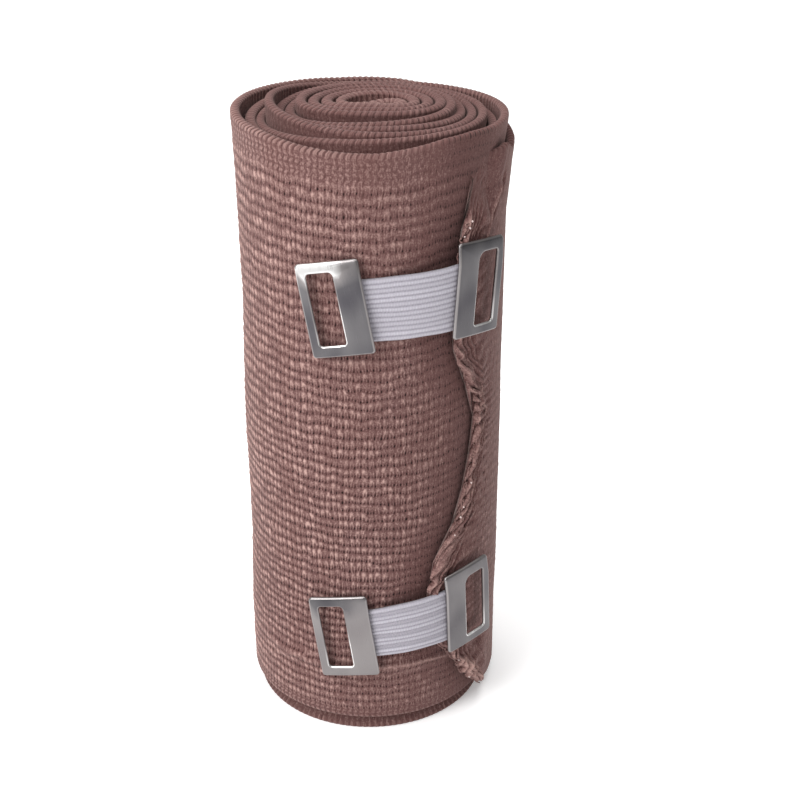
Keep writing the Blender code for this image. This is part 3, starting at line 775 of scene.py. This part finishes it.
def crepe_material():
    """Cotton crepe, dyed a dusty rose brown, knitted and then shrunk.

    Its colour paints light on matt heads of yarn, and shade in grooves and small holes where stitches meet.
    """
    crepe, shader = new_material("cotton_crepe", Roughness=0.95, Specular_IOR_Level=0.2, Sheen_Weight=0.2,
                                 Sheen_Roughness=0.5, Sheen_Tint=linear("#E8CFC8"))
    pattern = node(crepe, "UVMap", {"uv_map": "pattern"})
    height = node(crepe, "Attribute", {"attribute_name": "pattern_height"}, "Fac")
    wale, course = node(crepe, "SeparateXYZ", out=slice(2), i0=pattern)
    # dye: soft vertical streaks; over them painted shade darkens the slits and painted light the heads
    streak_map = node(crepe, "Mapping", {"Scale": (0.2, 0.07, 1.0)}, Vector=pattern)
    streaks = node(crepe, "TexNoise", {"Scale": 1.0, "Detail": 3.0}, Vector=streak_map)
    # yarns and fibres 0.3 to 0.4 mm wide, half of them flecks and half of them upright strands
    flecks, strands = (node(crepe, "TexNoise", {"Scale": 1.0, "Detail": 2.0, "Roughness": 0.6},
                            Vector=node(crepe, "Mapping", {"Scale": (across, up, 1.0)}, Vector=pattern))
                       for across, up in ((3.9, 6.2), (4.6, 2.0)))
    fibres = node(crepe, "Math", {"operation": "ADD"}, i0=flecks, i1=strands)
    rough_height = node(crepe, "Math", {"operation": "MULTIPLY_ADD", 1: 0.85, 2: -0.85}, i0=fibres)
    rough_height = node(crepe, "Math", {"operation": "ADD"}, i0=rough_height, i1=height)
    # painted shade low on the stitches and painted light on their heads, by their height
    to_body = node(crepe, "MapRange", {1: -0.05, 2: 0.40}, i0=rough_height)
    to_head = node(crepe, "MapRange", {1: 0.45, 2: 1.1}, i0=rough_height)
    tone = node(crepe, "Mix", {"data_type": "RGBA", 6: linear("#3A211F"), 7: linear("#644745")}, 2,
                i0=to_body)
    deeper = node(crepe, "MapRange", {1: 0.35, 2: 0.7, 3: 0.25, 4: 0.0}, i0=streaks)
    # a slit 0.3 mm wide and 0.8 mm high lies between two wales over each course line, and a smaller one
    # between the two legs of a stitch
    middle = node(crepe, "Math", {"operation": "PINGPONG", 1: 0.5}, i0=wale)
    groove_away = node(crepe, "Math", {"operation": "SUBTRACT", 0: 0.5}, i1=middle)
    legs_away = node(crepe, "Math", {"operation": "ADD", 1: 0.03}, i0=middle)
    across = node(crepe, "Math", {"operation": "MINIMUM"}, i0=groove_away, i1=legs_away)
    line_away = node(crepe, "Math", {"operation": "PINGPONG", 1: 0.5}, i0=course)
    slit_x = node(crepe, "Math", {"operation": "MULTIPLY", 1: WALE / SLIT_SIZE[0]}, i0=across)
    slit_y = node(crepe, "Math", {"operation": "MULTIPLY", 1: COURSE / SLIT_SIZE[1]}, i0=line_away)
    slit_place = node(crepe, "CombineXYZ", i0=slit_x, i1=slit_y)
    slit_away = node(crepe, "VectorMath", {"operation": "LENGTH"}, "Value", i0=slit_place)
    slit_away = node(crepe, "Math", {"operation": "ADD"}, i0=slit_away, i1=flecks)
    slit = node(crepe, "MapRange", {"interpolation_type": "SMOOTHSTEP", 1: 0.95, 2: 1.45, 3: 1.0, 4: 0.0},
                i0=slit_away)
    # it is open in some patches only, and only where the cloth is deep; there its shade is painted
    patches = node(crepe, "TexNoise", {"Scale": 0.6, "Detail": 2.0}, Vector=pattern)
    open_share = node(crepe, "MapRange", {1: 0.3, 2: 0.55, 3: 0.2, 4: 1.0}, i0=patches)
    deep = node(crepe, "MapRange", {1: 0.40, 2: 0.22, 3: 0.0, 4: 1.0}, i0=height)
    for share in (open_share, deep):
        slit = node(crepe, "Math", {"operation": "MULTIPLY"}, i0=slit, i1=share)
    # painted light on the heads, the dye's darker streaks, and the slits' painted shade, near black
    for share, colour in ((to_head, "#B8978F"), (deeper, "#5C3934"), (slit, "#170B0A")):
        tone = node(crepe, "Mix", {"data_type": "RGBA", 7: linear(colour)}, 2, i0=share, i6=tone)
    bump = node(crepe, "Bump", {"Strength": 0.7, "Distance": 0.08 * MM}, Height=fibres)
    crepe.node_tree.links.new(tone, shader.inputs["Base Color"])
    crepe.node_tree.links.new(bump, shader.inputs["Normal"])
    return crepe


def elastic_material():
    """Woven elastic webbing, bleached yarn round rubber: white ribs, grooves in painted shade, a slight
    gloss.
    """
    elastic, shader = new_material("woven_elastic", Roughness=0.7, Specular_IOR_Level=0.35, Sheen_Weight=0.2,
                                   Sheen_Roughness=0.5)
    pattern = node(elastic, "UVMap", {"uv_map": "pattern"})
    height = node(elastic, "Attribute", {"attribute_name": "pattern_height"}, "Fac")
    fibre_map = node(elastic, "Mapping", {"Scale": (1.6, 4.0, 1.0)}, Vector=pattern)
    fibres = node(elastic, "TexNoise", {"Scale": 1.0, "Detail": 3.0}, Vector=fibre_map)
    # painted shade: the grooves are greyer than the ribs, by the ribs' height
    rib = node(elastic, "MapRange", {1: 0.0, 2: 0.8}, i0=height)
    tone = node(elastic, "Mix", {"data_type": "RGBA", 6: linear("#7D7982"), 7: linear("#BBB7C1")}, 2, i0=rib)
    fleck = node(elastic, "MapRange", {1: 0.35, 2: 0.65, 3: 0.0, 4: 0.7}, i0=fibres)
    tone = node(elastic, "Mix", {"data_type": "RGBA", 7: linear("#A5A1A9")}, 2, i0=fleck, i6=tone)
    bump = node(elastic, "Bump", {"Strength": 0.7, "Distance": 0.1 * MM}, Height=fibres)
    elastic.node_tree.links.new(tone, shader.inputs["Base Color"])
    elastic.node_tree.links.new(bump, shader.inputs["Normal"])
    return elastic


def rubber_material():
    """Natural rubber thread in bleached covering, cut through: small pale ends with a soft shine."""
    rubber, shader = new_material("rubber_thread", Base_Color=linear("#CDB9B5"), Roughness=0.45)
    grain = node(rubber, "TexNoise", {"Scale": 4000.0, "Detail": 2.0},
                 Vector=node(rubber, "TexCoord", out="Object"))
    bump = node(rubber, "Bump", {"Strength": 0.3, "Distance": 0.03 * MM}, Height=grain)
    rubber.node_tree.links.new(bump, shader.inputs["Normal"])
    return rubber


def steel_material():
    """Mild steel strip, stamped and nickel plated: a dull grey face with faint scratches, and bright edges.

    Its face has painted reflections, and the rolled edges of its outline and slot have painted highlights.
    """
    steel, shader = new_material("nickel_plated_steel", Metallic=1.0)
    pattern = node(steel, "UVMap", {"uv_map": "pattern"})
    painted_shine = node(steel, "Attribute", {"attribute_name": "pattern_height"}, "Fac")
    scratch_map = node(steel, "Mapping", {"Scale": (5.0, 0.35, 1.0)}, Vector=pattern)
    scratches = node(steel, "TexNoise", {"Scale": 1.0, "Detail": 4.0}, Vector=scratch_map)
    cloud_map = node(steel, "Mapping", {"Scale": (0.12, 0.08, 1.0)}, Vector=pattern)
    clouds = node(steel, "TexNoise", {"Scale": 1.0, "Detail": 1.0}, Vector=cloud_map)
    # painted reflection: the face's dark grey lightens with its share of it
    painted_reflection = node(steel, "MapRange", {1: 0.0, 2: 0.5}, i0=painted_shine)
    tone = node(steel, "Mix", {"data_type": "RGBA", 6: linear("#4D4B4F"), 7: linear("#827D7D")}, 2, i0=painted_reflection)
    cloudy = node(steel, "MapRange", {1: 0.35, 2: 0.75, 3: 0.0, 4: 0.25}, i0=clouds)
    # painted highlight, near white, on the rolled edges
    edge = node(steel, "MapRange", {1: 0.5, 2: 1.0}, i0=painted_shine)
    for share, colour in ((cloudy, "#A9A6A4"), (edge, "#F2F1F0")):
        tone = node(steel, "Mix", {"data_type": "RGBA", 7: linear(colour)}, 2, i0=share, i6=tone)
    rough = node(steel, "MapRange", {1: 0.3, 2: 0.7, 3: 0.26, 4: 0.4}, i0=scratches)
    bump = node(steel, "Bump", {"Strength": 0.25, "Distance": 0.02 * MM}, Height=scratches)
    steel.node_tree.links.new(tone, shader.inputs["Base Color"])
    steel.node_tree.links.new(rough, shader.inputs["Roughness"])
    steel.node_tree.links.new(bump, shader.inputs["Normal"])
    return steel


# The cloth's pieces ---------------------------------------------------

def build_roll(crepe, frayed_pieces):
    """The strip in six stretches: the loose end, the back, the front in two, and the inner turns in two."""
    fine = cloth_profile(np.linspace(0, COURSES, COURSES * 7 + 1), 7, np.linspace(0, COURSES, 16))
    medium = cloth_profile(np.linspace(0, COURSES, COURSES * 5 + 1), 5, np.linspace(0, COURSES, 16))
    # only the rims of the inner turns show, so the cloth below is plain
    low = [0, 0.4, 0.8, 1.2, 2.0, 30, COURSES - 6]
    inner_top = np.array([0, 30, COURSES - 8, COURSES - 4, COURSES - 2, COURSES])
    hidden, core = (cloth_profile(np.concatenate((low, np.linspace(COURSES - reach, COURSES, count))), 7,
                                  inner_top) for reach, count in ((2.4, 13), (3.8, 20)))
    stretches = {
        # name: first turn, last turn, points a wale, profile
        "crepe_loose_end": (FIRST_TURN, 0.04, 6, fine),
        "crepe_back": (0.04, 0.46, 4, medium),
        "crepe_front_left": (0.46, 0.70, 6, fine),
        "crepe_front_right": (0.70, 0.93, 6, fine),
        "crepe_inner_turns": (0.93, 4.5, 4, hidden),
        "crepe_core_turns": (4.5, LAST_TURN, 4, core),
    }
    for name, (first, last, per_wale, profile) in stretches.items():
        grid = wound_cloth(first, last, per_wale, profile)
        outer = int(np.argmax(profile[2] > EDGE_RADIUS))
        heights = profile[0] + profile[1] / EDGE_RADIUS
        piece = closed_strip(name, grid, outer, heights, crepe)
        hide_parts("bandage_roll")


def add_threads(name, length, level, stand, radius, finish, sides=5):
    """Round threads on the loose end, one a row, with a ring of points about each point of their paths.

    All is in millimetres: how far a point lies behind the cut end, its level, how far it stands off the
    puckered cloth, and the thread's radius there.
    """
    measures = (values * MM for values in (length, level, stand, radius))
    length, level, stand, radius = np.broadcast_arrays(*measures)
    turn = FIRST_TURN + length / (2 * math.pi * RADII[0])
    smooth = strip_face(turn, level)
    outward = smooth - np.array((*AXIS, 0))
    outward[..., 2] = 0
    outward = outward / np.linalg.norm(outward, axis=-1, keepdims=True)
    cloth = (CUT_END_LIFT * bell(length, CUT_END_LIFT_REACH)
             + PUCKER_RISE * (lobes(length, level) - PUCKER_MIDDLE) * bell(length, PUCKER_REACH))
    paths = smooth + outward * (cloth + stand)[..., None]
    along = np.gradient(paths, axis=1)
    along /= np.linalg.norm(along, axis=-1, keepdims=True)
    beside = np.cross(along, outward)
    beside /= np.linalg.norm(beside, axis=-1, keepdims=True)
    lifted = np.cross(beside, along)
    angle = np.arange(sides) * 2 * math.pi / sides
    rings = (paths[:, :, None] + radius[..., None, None]
             * (beside[:, :, None] * np.cos(angle)[:, None] + lifted[:, :, None] * np.sin(angle)[:, None]))
    count, steps = radius.shape
    starts = np.arange(count) * steps * sides
    faces = (grid_faces(steps, sides)[None] + starts[:, None, None]).reshape(-1, 4).tolist()
    first = starts[:, None] + np.arange(sides)
    last = first[:, ::-1] + (steps - 1) * sides
    places = np.stack(np.broadcast_arrays(THREAD_PLACES[0] * np.arange(count)[:, None, None],
                                          THREAD_PLACES[1] * np.arange(steps)[None, :, None],
                                          angle[None, None])[:2], -1)
    return add_piece(name, rings, faces + first.tolist() + last.tolist(), finish, places,
                     np.full(rings.shape[:3], THREAD_TONE))


def build_cut_end(crepe, rubber):
    """What frays from the cut end: yarns that fan up behind it, loops along it, and cut rubber threads.

    Each thread is given in millimetres, at shares from 0 to 1 along it. A yarn curves away from the cut end,
    bent by chance, and rises off the cloth and sinks back. A loop is half a sine wave. Both are thickest in
    the middle. A rubber thread is short and has round ends.
    """
    chance = np.random.default_rng(8)
    start = np.sort(chance.uniform(*STRAND_FEET, STRANDS))[:, None]
    share = np.linspace(0, 1, 9)[None, :]
    reach = chance.uniform(*STRAND_REACH, (STRANDS, 1))
    climb = chance.uniform(*STRAND_CLIMB, (STRANDS, 1))
    climb = np.where((start > STRANDS_DOWN[0]) & (start < STRANDS_DOWN[1]), -climb, climb)
    bend = chance.uniform(-0.5, 0.5, (STRANDS, 1))
    length = chance.uniform(0.0, 1.2, (STRANDS, 1)) + reach * share ** 1.3 + bend * np.sin(math.pi * share)
    stand = 0.02 + 0.30 * np.sin(math.pi * share) - 0.22 * share
    radius = (0.14 + 0.26 * np.sin(math.pi * (0.1 + 0.8 * share))) * chance.uniform(0.6, 1.25, (STRANDS, 1))
    yarns = add_threads("frayed_yarns", length, start + climb * share, stand, radius, crepe)

    foot = np.linspace(*LOOP_FEET, LOOPS)[:, None] + chance.uniform(-0.3, 0.3, (LOOPS, 1))
    share = np.linspace(0, 1, 7)[None, :]
    curve = np.sin(math.pi * share)
    length = 0.25 - chance.uniform(0.1, 0.45, (LOOPS, 1)) * curve
    level = foot + (LOOP_HEIGHT * share - 0.2) * chance.uniform(0.8, 1.6, (LOOPS, 1))
    edge_loops = add_threads("cut_end_loops", length, level, -0.25 - 0.35 * curve, 0.13 + 0.06 * curve,
                             crepe)

    share = np.linspace(0, 1, 6)[None, :]
    radius = DOT_RADIUS * np.sqrt(np.clip(1 - (1.6 * share - 0.8) ** 2, 0.05, 1))
    threads = add_threads("cut_rubber_threads", 0.7 - 0.3 * share, np.array(DOTS)[:, None], 0.1 + 0.4 * share,
                          radius, rubber, 7)
    return [yarns, edge_loops, threads]


# The elastics ---------------------------------------------------------

def elastic_radius(degrees, cut_end):
    """Inner radius of an elastic: it lifts off the roll early and rises softly over the cut end."""
    rest = TURNS[0, 3] * MM + CLEARANCE
    over = along_turns(RADII, turn_at(degrees)) + CLEARANCE + CUT_END_LIFT
    return rest + (over - rest) * step_up(cut_end - ELASTIC_RISE[0], cut_end + ELASTIC_RISE[1], degrees)


def build_elastic(name, left_plate, right_plate, left_width, right_width, left_height, right_height, rise,
                  cut_end, paired, finish):
    """A ribbed band round the roll: rounded ribs, some bands in pairs, crossed by yarns that pinch each rib.

    Its middle rises over the line between its ends on a parabola.
    """
    tuck = math.degrees((PLATE_SIZE[0] / 2 - ELASTIC_TUCK) / (TURNS[0, 3] * MM))
    start, end = PLATES[left_plate][1] + tuck, PLATES[right_plate][1] - tuck
    yarns = round(math.radians(end - start) * OUTER_RADIUS * MM / ELASTIC_YARN)
    columns = np.arange(-1, yarns * 3 + 2) / 3
    ribs = np.linspace(0, ELASTIC_RIBS, ELASTIC_RIBS * 6 + 1)
    inner_ribs = np.linspace(0, ELASTIC_RIBS, 9)[::-1]
    side = np.concatenate((np.ones(len(ribs)), np.zeros(len(inner_ribs))))
    yarn, rib = np.meshgrid(columns, np.concatenate((ribs, inner_ribs)), indexing="ij")
    share = yarn / yarns
    degrees = start + share * (end - start)
    middle = left_height + share * (right_height - left_height) + 4 * rise * share * (1 - share)
    width = left_width + share * (right_width - left_width)
    sway = ELASTIC_SWAY * soft_noise(11, yarn / 9, rib / 3)
    height = (middle + width * (rib / ELASTIC_RIBS - 0.5) + sway) * MM
    across = np.abs(rib - np.floor(rib) - 0.5) * 2
    pinch = 0.5 + 0.5 * np.cos(2 * math.pi * (yarn + 0.5 * np.floor(rib)))
    number = np.minimum(np.floor(rib).astype(int), ELASTIC_RIBS - 1)
    fullness = np.random.default_rng(12).uniform(0.7, 1.0, ELASTIC_RIBS)[number]
    if paired:
        fullness = fullness * np.where(number % 3 == 2, PAIR_GROOVE, 1.0)
    relief = ELASTIC_RELIEF * fullness * step_down(0.25, 1.0, across) * (1 - PINCH * pinch)
    edge = step_up(0, 0.5, np.minimum(rib, ELASTIC_RIBS - rib))
    depth = ELASTIC_THICKNESS * (ELASTIC_EDGE + (1 - ELASTIC_EDGE) * edge) + relief
    radius = elastic_radius(degrees, cut_end) + depth * side
    angle = FRONT + np.radians(degrees)
    points = np.stack((AXIS[0] + radius * np.cos(angle), AXIS[1] + radius * np.sin(angle), height), -1)
    # the ribs' heights, which the finish turns into painted shade in the grooves
    piece = closed_strip(name + "_webbing", (points, yarn, rib, relief / ELASTIC_RELIEF), len(ribs), rib[0],
                         finish)
    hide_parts(name)


# The clips ------------------------------------------------------------

def round_rectangle(left, right, low, high, corners):
    """Closed outline, anticlockwise from the upper right: an arc of seven points, then four of a side."""
    corners = np.broadcast_to(corners, 4)
    centres = np.array(((right - corners[0], high - corners[0]), (left + corners[1], high - corners[1]),
                        (left + corners[2], low + corners[2]), (right - corners[3], low + corners[3])))
    angles = np.radians(np.linspace(0, 90, 7)[None] + 90 * np.arange(4)[:, None])
    arcs = centres[:, None] + corners[:, None, None] * np.stack((np.cos(angles), np.sin(angles)), -1)
    starts, ends = arcs[:, -1:], np.roll(arcs, -1, axis=0)[:, :1]
    between = starts + (ends - starts) * (np.arange(1, 5) / 5)[None, :, None]
    return np.concatenate((arcs, between), axis=1).reshape(-1, 2)


def plate_rings(side):
    """Rings of a flat plate with a slot, from the outer edge over the face to the slot, and back beneath.

    The edges are rolled on quarter circles and carry painted highlights. Where the slot's wall faces up and
    towards the front, its painted highlight is brighter.
    """
    half_width, half_height = PLATE_SIZE[0] / 2, PLATE_SIZE[1] / 2
    half = PLATE_THICKNESS / 2

    def outer(inset):
        """The plate's outline, moved inwards."""
        return round_rectangle(inset - half_width, half_width - inset, inset - half_height,
                               half_height - inset, PLATE_CORNER - inset * 0.6)

    def slot(inset):
        """The slot's outline, moved outwards from the slot."""
        return round_rectangle(NARROW_BAR - half_width - inset, half_width - WIDE_BAR + inset,
                               LOWER_BAR - half_height - inset, half_height - UPPER_BAR + inset,
                               np.array(SLOT_CORNERS[side]) * MM + inset)

    bend = [(PLATE_EDGE * (1 - math.cos(angle)), half - PLATE_EDGE + PLATE_EDGE * math.sin(angle))
            for angle in np.radians(np.linspace(0, 90, 5))]
    steps = [(outer(inset), height) for inset, height in bend]
    steps += [(outer(PLATE_EDGE) * (1 - share) + slot(PLATE_EDGE) * share, half)
              for share in (0.15, 0.35, 0.5, 0.65, 0.85)]
    steps += [(slot(inset), height) for inset, height in bend[::-1]]
    steps += [(ring, -height) for ring, height in steps[::-1]]
    rings = np.stack([np.column_stack((ring, np.full(len(ring), height))) for ring, height in steps], axis=1)
    at_slot = np.abs(np.arange(rings.shape[1]) - rings.shape[1] / 2) < rings.shape[1] / 4
    around = np.arctan2(rings[..., 1] * side, rings[..., 0] + SLOT_MIDDLE)
    lit = np.clip(np.cos(around - LIGHT_FROM), 0, 1)
    rolled = np.abs(rings[..., 2]) < half - 0.02 * MM
    # painted highlights on the rolled edges, brightest on the slot's wall where it faces the light
    return rings, rolled * np.where(at_slot, SLOT_GLINT[0] + SLOT_GLINT[1] * lit, OUTLINE_HIGHLIGHT)


def build_plate(name, side, degrees, height, lean, radius, painted_reflection, upper_bar_reflection, finish):
    """Stand one plate on its tangent to the roll, bowed and its upper bar bent back; side -1 turns it."""
    rings, rolled = plate_rings(side)
    # the upper bar, bent back, gets its own painted reflection, weaker towards one end
    upper = step_up(6.6 * MM, 8.0 * MM, rings[..., 1] * side)
    upper = upper * (1 - 0.6 * step_up(1 * MM, 5 * MM, rings[..., 0] * side))
    curled = np.clip(rings[..., 1] * side - PLATE_CURL[0], 0, None) ** 2 * PLATE_CURL[1]
    rings[..., 2] -= curled + rings[..., 0] ** 2 * PLATE_BOW / 2
    angle = FRONT + math.radians(degrees)
    across = np.array((-math.sin(angle), math.cos(angle), 0))
    outward = np.array((math.cos(angle), math.sin(angle), 0))
    turned = math.radians(lean if side > 0 else lean + 180)
    right = math.cos(turned) * across + math.sin(turned) * np.array((0, 0, 1))
    up = -math.sin(turned) * across + math.cos(turned) * np.array((0, 0, 1))
    centre = np.array((*AXIS, height * MM)) + radius * MM * outward
    points = centre + rings[..., :1] * right + rings[..., 1:2] * up + rings[..., 2:] * outward
    faces = grid_faces(*rings.shape[:2], ring_columns=True).tolist()
    # painted reflection over the face, and painted highlights on the rolled edges
    painted_shine = np.maximum(rolled, 0.5 * (painted_reflection + (upper_bar_reflection - painted_reflection) * upper))
    piece = add_piece(name + "_plate", points, faces, finish, rings[..., :2] / MM, painted_shine)
    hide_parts(name)


# The studio -----------------------------------------------------------

def round_the_front(place):
    """A place given with the roll's axis as origin and the front towards -Y, in the model's frame."""
    return Matrix.Translation((*AXIS, 0)) @ Matrix.Rotation(FRONT + math.pi / 2, 4, "Z") @ Vector(place)


def add_camera():
    """The photograph's view: from in front, above the rim and looking down, nothing shifted."""
    forward = Vector((math.sin(CAMERA_TURN) * math.cos(CAMERA_DIP),
                      math.cos(CAMERA_TURN) * math.cos(CAMERA_DIP), -math.sin(CAMERA_DIP)))
    right = Vector((math.cos(CAMERA_TURN), -math.sin(CAMERA_TURN), 0))
    aim = Matrix((right, right.cross(forward), -forward)).transposed().to_4x4()
    lens = bpy.data.cameras.new("photograph_view")
    lens.lens = CAMERA_LENS
    camera = add_object("photograph_view", lens)
    camera.matrix_world = (Matrix.Translation(round_the_front(CAMERA_PLACE))
                           @ Matrix.Rotation(FRONT + math.pi / 2, 4, "Z") @ aim
                           @ Matrix.Rotation(CAMERA_ROLL, 4, "Z"))
    bpy.context.scene.camera = camera


def add_light(name, place, size, power):
    """A square white soft box that faces the middle of the roll."""
    light = bpy.data.lights.new(name, "AREA")
    light.size = size
    light.energy = power
    position = round_the_front(place)
    target = Vector((*AXIS, LIGHT_AIM))
    aim = (position - target).to_track_quat("Z", "Y").to_matrix().to_4x4()
    add_object(name, light).matrix_world = Matrix.Translation(position) @ aim


def add_studio():
    """A pale paper floor on a faint light table, a white surround, and soft boxes above and on the left."""
    paper, _ = new_material("white_paper", Base_Color=linear("#F7F7F7"), Roughness=0.9,
                            Emission_Color=linear("#FFFFFF"), Emission_Strength=FLOOR_LIGHT)
    mesh = bpy.data.meshes.new("floor")
    corners = [(x * FLOOR_HALF, y * FLOOR_HALF, 0) for x, y in ((-1, -1), (1, -1), (1, 1), (-1, 1))]
    mesh.from_pydata(corners, [], [(0, 1, 2, 3)])
    mesh.materials.append(paper)
    floor = add_object("floor", mesh)
    world = bpy.data.worlds.new("surround")
    world.use_nodes = True
    world.node_tree.nodes["Background"].inputs["Color"].default_value = linear("#FFFFFF")
    world.node_tree.nodes["Background"].inputs["Strength"].default_value = SURROUND_LIGHT
    bpy.context.scene.world = world
    for name, (place, size, power) in LIGHTS.items():
        add_light(name, place, size, power)
    bpy.context.scene.view_settings.view_transform = "Standard"


add_camera()
add_studio()
crepe_finish = crepe_material()
build_roll(crepe_finish, build_cut_end(crepe_finish, rubber_material()))
webbing, plated = elastic_material(), steel_material()
for plate_name, measures in PLATES.items():
    build_plate(plate_name, *measures, plated)
for elastic_name, measures in ELASTICS.items():
    build_elastic(elastic_name, *measures, webbing)
